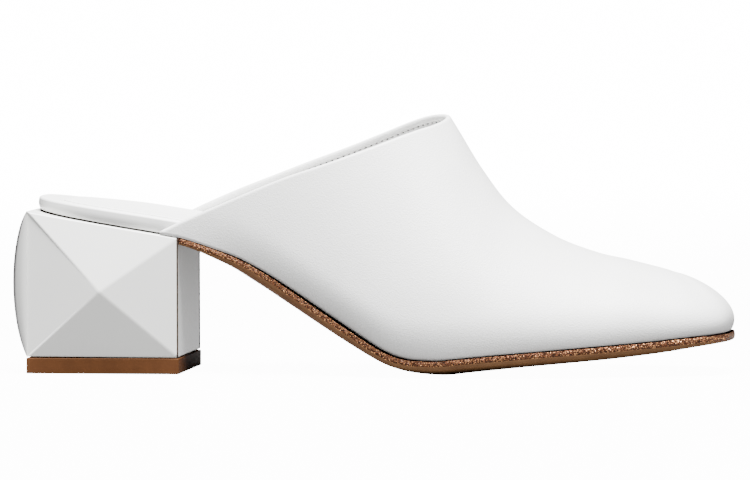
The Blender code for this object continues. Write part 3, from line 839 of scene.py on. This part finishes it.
def make_upper(leather, lining):
    """One leather wall with a rolled collar, a stitched facing inside it and the lining behind.

    Returns the groove's points with their outward directions.
    """
    shape = bmesh.new()
    outer = [[shape.verts.new(point) for point in line] for line in upper_lines()]
    share_tips(shape, outer)
    skin_lines(shape, outer)
    shape.normal_update()
    if outer[len(outer) // 2][len(outer[0]) // 2].normal.z < 0:
        bmesh.ops.reverse_faces(shape, faces=shape.faces)
        shape.normal_update()
    inner = []
    for line in outer:
        made = []
        for i, corner in enumerate(line):
            relief = FACING[i][1] * MM if i < len(FACING) else 0.0
            made.append((corner.co - corner.normal * (UPPER_WALL + relief), corner.normal.copy()))
        inner.append(made)
    inside = [[shape.verts.new(point) for point, _ in line] for line in inner]
    share_tips(shape, inside)
    for i, face in skin_lines(shape, inside):
        face.material_index = 1 if i >= STITCH_ROW else 0
    rims = roll_collar(shape, outer, inside)
    for line, inner_line, rim in ((outer[0], inside[0], rims[0]), (outer[-1], inside[-1], rims[-1])):
        skin_lines(shape, (line, inner_line))
        shape.faces.new(rim)
    bmesh.ops.recalc_face_normals(shape, faces=shape.faces)
    groove = [(line[STITCH_ROW].co.copy(), made[STITCH_ROW][1]) for line, made in zip(inside, inner)]
    add_piece("upper_leather", shape, (leather, lining), ("upper",), "upper_leather")
    return groove


def add_ellipsoid(shape, place, along_axis, length, radius, rings=5, segments=8):
    """Adds a rounded grain of that length along an axis."""
    turn = Vector((0, 0, 1)).rotation_difference(along_axis).to_matrix().to_4x4()
    size = Matrix.Diagonal((radius, radius, length / 2, 1.0))
    matrix = Matrix.Translation(place) @ turn @ size
    bmesh.ops.create_uvsphere(shape, u_segments=segments, v_segments=rings, radius=1.0, matrix=matrix)


def make_stitches(groove, thread, hole_shade):
    """Thread that dips into the needle holes, one after each stitch, along the groove inside the collar; the
    holes are grains painted with shade.
    """
    threads, holes = bmesh.new(), bmesh.new()
    gone = 0.0
    for (start, normal), (end, _) in zip(groove, groove[1:]):
        run = (end - start).length
        heading = (end - start).normalized()
        while gone < run:
            place = start + heading * gone - normal * STITCH_RADIUS * THREAD_RISE
            add_ellipsoid(threads, place, heading, STITCH_LENGTH, STITCH_RADIUS)
            hole_place = start + heading * (gone + STITCH_PITCH / 2) + normal * HOLE_RADIUS * HOLE_SINK
            add_ellipsoid(holes, hole_place, heading, HOLE_RADIUS * 2, HOLE_RADIUS, rings=4, segments=6)
            gone += STITCH_PITCH
        gone -= run
    add_piece("collar_stitches", threads, (thread,))
    add_piece("stitch_hole_shades", holes, (hole_shade,))


def skin_rings(shape, rings):
    """Skins a list of rings of points, each a full loop round a section, and returns their vertices."""
    made = [[shape.verts.new(point) for point in ring] for ring in rings]
    count = len(rings[0])
    for near, far in zip(made, made[1:]):
        for k in range(count):
            n = (k + 1) % count
            shape.faces.new((near[k], near[n], far[n], far[k]))
    return made


def seam_ring(station, inset, low, high, steps, side, round_radius, swell=0.0, undercut=0.0):
    """A section's loop from the bottom's middle over the outer edge, the top and the inner edge, back again.

    low and high give heights at (station, point, nearness). side lists rows up the upright wall, which
    swells in the middle and draws in at its foot. The top's rim is rounded.
    The second list holds each point's mark.
    """
    loop = []
    marks = []
    for hand in (-1, 1):
        half = []
        for step in steps:
            point, nearness = ground(station, hand * step, inset + undercut)
            half.append(((point.x, point.y, low(station, point, nearness)), BOTTOM))
        foot, nearness = ground(station, hand, inset)
        bottom = low(station, foot, nearness)
        radius = upright(foot.x, round_radius)
        shoulder = high(station, foot, nearness) - radius
        for share in side:
            reach = swell * math.sin(math.pi * share) - undercut * (1 - share) ** 2
            point, _ = ground(station, hand, inset - reach)
            mark = FOOT if share == side[0] else WALL
            half.append(((point.x, point.y, bottom + (shoulder - bottom) * share), mark))
        for k in range(1, RIM_STEPS + 1):
            turn = math.pi / 2 * k / RIM_STEPS
            point, near = ground(station, hand, inset + round_radius * (1 - math.cos(turn)))
            top = high(station, point, near)
            half.append(((point.x, point.y, top - radius * (1 - math.sin(turn))), RIM))
        for step in reversed(steps[:-1]):
            point, near = ground(station, hand * step, inset + round_radius)
            half.append(((point.x, point.y, high(station, point, near)), TOP))
        if hand > 0:
            half.reverse()
            half = half[1:-1]
        loop += [point for point, _ in half]
        marks += [mark for _, mark in half]
    return loop, marks


def flat_piece(name, rows, ring, finishes, pick=None, cap=False, **more):
    """A piece between two surfaces over the sole's outline, with its loops given by ring(station).

    pick gives a face's finish from the marks of its two lengthwise edges. cap closes the first loop.
    """
    shape = bmesh.new()
    loops = [ring(station) for station in rows]
    made = skin_rings(shape, [loop for loop, _ in loops])
    marks = loops[0][1]
    if pick:
        count = len(marks)
        for index, face in enumerate(shape.faces):
            k = index % count
            face.material_index = pick({marks[k], marks[(k + 1) % count]})
    if cap:
        shape.faces.new(made[0])
    bmesh.ops.remove_doubles(shape, verts=shape.verts, dist=WELD)
    bmesh.ops.dissolve_degenerate(shape, edges=shape.edges, dist=WELD)
    bmesh.ops.recalc_face_normals(shape, faces=shape.faces)
    return add_piece(name, shape, finishes, **more)


def arc_steps(count):
    """Places from the middle to the edge, close together at the edge."""
    return [math.sin(math.pi / 2 * k / count) for k in range(count + 1)]


def make_outsole(glitter, tan, painted_shade):
    """The sole: a tan underside, glitter up its edge, and painted shadow on its top where the upper meets it.
    """

    def belly_face(station, point, nearness):
        hang = belly(point.x) * math.sqrt(1 - nearness**2)
        return max(feather(point.x) - upright(point.x, sole_edge(point.x) + hang), 0.0)

    def ring(station):
        steps = arc_steps(SOLE_STEPS)
        return seam_ring(station, 0.0, belly_face, last_bottom, steps, SOLE_SIDE, SOLE_ROUND, SOLE_SWELL)

    def pick(marks):
        # the sole's top faces get painted shadow, the shade in the gap under the upper's edge
        if TOP in marks:
            return finishes.index(painted_shade)
        return finishes.index(glitter if marks & {WALL, RIM} else tan)

    rows = spread(breast_station(), LAST_STATION, FLAT_ROWS)
    finishes = (tan, glitter, painted_shade)
    more = {"nodes": ("outsole",), "slot": "sole_leather"}
    flat_piece("outsole_leather", rows, ring, finishes, pick, cap=True, **more)


def make_footbed(leather, wall_painted_shade, painted_shade):
    """The wrapped footbed, with a swelling wall at the heel seat in painted shade, and painted shadow along
    its bottom and the wall's foot.
    """

    def under(station, point, nearness):
        return last_bottom(station, point, nearness) + upright(point.x, CLEARANCE)

    def ring(station):
        inset = footbed_inset(station) - FOOTBED_REACH
        shape = (FOOTBED_ROUND, SEAT_SWELL, SEAT_UNDERCUT)
        return seam_ring(station, inset, under, footbed_top, arc_steps(FOOTBED_STEPS), SEAT_SIDE, *shape)

    def pick(marks):
        # the footbed's bottom and the wall's foot get painted shadow, the shade in the gap above the heel and
        # sole
        if BOTTOM in marks and TOP not in marks:
            return finishes.index(painted_shade)
        # the wall gets the leather with painted shade
        return finishes.index(wall_painted_shade if marks & {WALL, FOOT} else leather)

    rows = spread(0, LAST_STATION, FLAT_ROWS)
    finishes = (leather, wall_painted_shade, painted_shade)
    flat_piece("footbed_leather", rows, ring, finishes, pick, nodes=("footbed",), slot="footbed_leather")


def make_sock(leather):
    """The thin sock on the footbed, with a round end short of the heel's back."""

    def inset(station):
        past_back = smooth_step(station / SEAT_STATION)
        return footbed_inset(station) + SOCK_BACK_MARGIN * (1 - past_back) + SOCK_MARGIN * past_back

    def lower(station, point, nearness):
        return footbed_top(station, point, nearness) - SOCK_EMBED

    def higher(station, point, nearness):
        return footbed_top(station, point, nearness) + upright(point.x, SOCK_STEP)

    def ring(station):
        steps = arc_steps(FOOTBED_STEPS)
        return seam_ring(station, inset(station), lower, higher, steps, SOCK_SIDE, SOCK_ROUND)

    rows = spread(0, LAST_STATION, FLAT_ROWS)
    flat_piece("sock_leather", rows, ring, (leather,), nodes=("sock_lining",), slot="sock_leather")


def make_heel_block(lacquer, back_with_painted_reflection, breast_painted_shade, corner_line, painted_shade):
    """Block heel: a four-sided point on each side, a swelling back with a painted reflection at its edges, and
    a flat breast with painted shade, a near-black line along its corners and a painted reflection along its
    far edge.
    """
    bottom = LIFT_THICKNESS + CLEARANCE
    shape = bmesh.new()
    bmesh.ops.create_cube(shape, size=1)
    for corner in shape.verts:
        front, high = corner.co.x > 0, corner.co.z > 0
        corner.co.x = HEEL_LENGTH if front else 0.0
        corner.co.y *= SEAT_WIDTH
        corner.co.z = feather(corner.co.x) if high else bottom
    shape.normal_update()
    sides = [face for face in shape.faces if abs(face.normal.y) > LOOKS_ALONG]
    bmesh.ops.poke(shape, faces=sides, offset=HEEL_FACET_RISE, center_mode="MEAN")
    back = min(shape.faces, key=lambda face: face.calc_center_median().x)
    bmesh.ops.subdivide_edges(shape, edges=back.edges[:], cuts=BACK_CUTS, use_grid_fill=True)
    middle = (SEAT_BACK_HEIGHT + bottom) / 2
    half = (SEAT_BACK_HEIGHT - bottom) / 2
    for corner in shape.verts:
        if abs(corner.co.x) > WELD:
            continue
        turn = math.pi / 2 * corner.co.y / (SEAT_WIDTH / 2)
        rise = math.pi / 2 * (corner.co.z - middle) / half
        corner.co.x = -HEEL_BACK_BULGE * math.cos(turn) * math.cos(rise)
        corner.co.y = SEAT_WIDTH / 2 * math.sin(turn)
        corner.co.z = middle + half * math.sin(rise)
    shape.normal_update()
    breast = max(shape.faces, key=lambda face: face.calc_center_median().x)
    breast_parts = breast.verts[:] + breast.edges[:] + [breast]
    painted_reflection_edge = SEAT_WIDTH / 2 - PAINTED_REFLECTION_WIDTH
    bmesh.ops.bisect_plane(shape, geom=breast_parts, plane_co=(0, painted_reflection_edge, 0), plane_no=(0, 1, 0))
    ridges = []
    for seam in shape.edges:
        in_back = all(end.co.x < WELD for end in seam.verts)
        if not in_back and len(seam.link_faces) == 2 and seam.calc_face_angle() > RIDGE_BEND:
            ridges.append(seam)
    bmesh.ops.bevel(
        shape, geom=ridges, offset=RIDGE_ROUND, segments=ROUND_STEPS, profile=0.5, affect="EDGES"
    )
    bmesh.ops.recalc_face_normals(shape, faces=shape.faces)
    finishes = (lacquer, back_with_painted_reflection, breast_painted_shade, corner_line, painted_shade)
    for face in shape.faces:
        place = face.calc_center_median()
        if place.x < -WELD:
            face.material_index = finishes.index(back_with_painted_reflection)
        elif face.normal.x > LOOKS_ALONG:
            # the breast's far edge gets painted shade, a painted black reflection at a grazing angle; the rest
            # takes the breast's lacquer with painted shade
            face.material_index = finishes.index(painted_shade if place.y > painted_reflection_edge else breast_painted_shade)
        elif place.x > HEEL_LENGTH - RIDGE_ROUND and CORNER_LINE_LOOKS[0] < abs(face.normal.y) < CORNER_LINE_LOOKS[1]:
            face.material_index = finishes.index(corner_line)
    piece = add_piece("heel_cover", shape, finishes, ("heel_block",), "heel_lacquer")
    for face in piece.data.polygons:
        face.use_smooth = face.center.x < SHIFT.x - WELD


def make_top_lift(rubber):
    """The wearing piece under the heel, with softened edges."""
    shape = bmesh.new()
    bmesh.ops.create_cube(shape, size=1)
    size = (HEEL_LENGTH + 2 * LIFT_PROUD, SEAT_WIDTH + 2 * LIFT_PROUD, LIFT_THICKNESS)
    bmesh.ops.scale(shape, vec=size, verts=shape.verts)
    bmesh.ops.translate(shape, vec=(HEEL_LENGTH / 2, 0, LIFT_THICKNESS / 2), verts=shape.verts)
    bmesh.ops.bevel(
        shape, geom=shape.edges[:], offset=LIFT_CORNER, segments=ROUND_STEPS, profile=0.5, affect="EDGES"
    )
    bmesh.ops.recalc_face_normals(shape, faces=shape.faces)
    piece = add_piece("lift_rubber", shape, (rubber,), ("top_lift",), "lift_rubber")
    shade = piece.modifiers.new("even faces", "WEIGHTED_NORMAL")
    shade.keep_sharp = True


def add_camera():
    """Looks at the shoe from where the photograph was taken."""
    back = Vector(
        (
            math.sin(CAMERA_AZIMUTH) * math.cos(CAMERA_ELEVATION),
            -math.cos(CAMERA_AZIMUTH) * math.cos(CAMERA_ELEVATION),
            math.sin(CAMERA_ELEVATION),
        )
    )
    right = Vector((math.cos(CAMERA_AZIMUTH), math.sin(CAMERA_AZIMUTH), 0.0))
    up = back.cross(right)
    rolled_right = right * math.cos(CAMERA_ROLL) + up * math.sin(CAMERA_ROLL)
    rolled_up = up * math.cos(CAMERA_ROLL) - right * math.sin(CAMERA_ROLL)
    data = bpy.data.cameras.new("camera")
    data.sensor_width = SENSOR_WIDTH
    data.lens = PIXELS_PER_METRE * CAMERA_DISTANCE / IMAGE_WIDTH * SENSOR_WIDTH
    data.clip_end = FAR_ENOUGH
    camera = bpy.data.objects.new("camera", data)
    turn = Matrix((rolled_right, rolled_up, back)).transposed()
    place = Vector(CAMERA_TARGET) + SHIFT + back * CAMERA_DISTANCE
    camera.matrix_world = Matrix.Translation(place) @ turn.to_4x4()
    bpy.context.scene.collection.objects.link(camera)
    bpy.context.scene.camera = camera


def add_light(name, place, aim, size, power):
    data = bpy.data.lights.new(name, "AREA")
    data.shape = "RECTANGLE"
    data.size, data.size_y = size
    data.energy = power
    light = bpy.data.objects.new(name, data)
    light.location = place
    light.rotation_euler = (Vector(place) - Vector(aim)).to_track_quat("Z", "Y").to_euler()
    bpy.context.scene.collection.objects.link(light)


def add_stage():
    """A white floor under soft studio light."""
    world = bpy.data.worlds.new("studio")
    world.use_nodes = True
    world.node_tree.nodes["Background"].inputs["Color"].default_value = (1, 1, 1, 1)
    world.node_tree.nodes["Background"].inputs["Strength"].default_value = WORLD_GLOW
    bpy.context.scene.world = world
    paper = new_finish("paper", (PAPER_TONE, PAPER_TONE, PAPER_TONE), 0.9, Specular_IOR_Level=0.0)
    shader = paper.node_tree.nodes["Principled BSDF"]
    shader.inputs["Emission Color"].default_value = (1, 1, 1, 1)
    place = add_node(paper, "ShaderNodeTexCoord")
    reach = add_node(paper, "ShaderNodeVectorMath")
    reach.operation = "LENGTH"
    glow = add_node(paper, "ShaderNodeMapRange")
    glow.interpolation_type = "SMOOTHSTEP"
    for socket, value in PAPER_GLOW.items():
        glow.inputs[socket].default_value = value
    join(paper, place.outputs["Object"], reach.inputs[0])
    join(paper, reach.outputs["Value"], glow.inputs["Value"])
    join(paper, glow.outputs["Result"], shader.inputs["Emission Strength"])
    shape = bmesh.new()
    bmesh.ops.create_grid(shape, x_segments=1, y_segments=1, size=FLOOR_SIZE)
    mesh = bpy.data.meshes.new("floor")
    shape.to_mesh(mesh)
    shape.free()
    mesh.materials.append(paper)
    floor = bpy.data.objects.new("floor", mesh)
    bpy.context.scene.collection.objects.link(floor)
    shone_on = bpy.data.collections.new("lit_by_the_floor")
    shone_on.objects.link(floor)
    floor.light_linking.receiver_collection = shone_on
    add_light("key", KEY_PLACE, KEY_AIM, KEY_SIZE, KEY_POWER)


def main():
    lining = lining_leather()
    # seam holds the painted shade line: painted shadow in the gaps and a painted reflection on the heel's
    # breast
    seam = painted_shade_line()
    groove = make_upper(upper_leather(), lining)
    make_stitches(groove, white_thread(), painted_hole_shade())
    make_outsole(copper_glitter(), tan_sole(), seam)
    make_footbed(seat_leather(), seat_wall_painted_shade(), seam)
    make_sock(lining)
    make_heel_block(side_lacquer(), back_lacquer_painted_reflection(), breast_lacquer_painted_shade(), corner_dark_line(), seam)
    make_top_lift(brown_lift())
    add_stage()
    add_camera()


main()
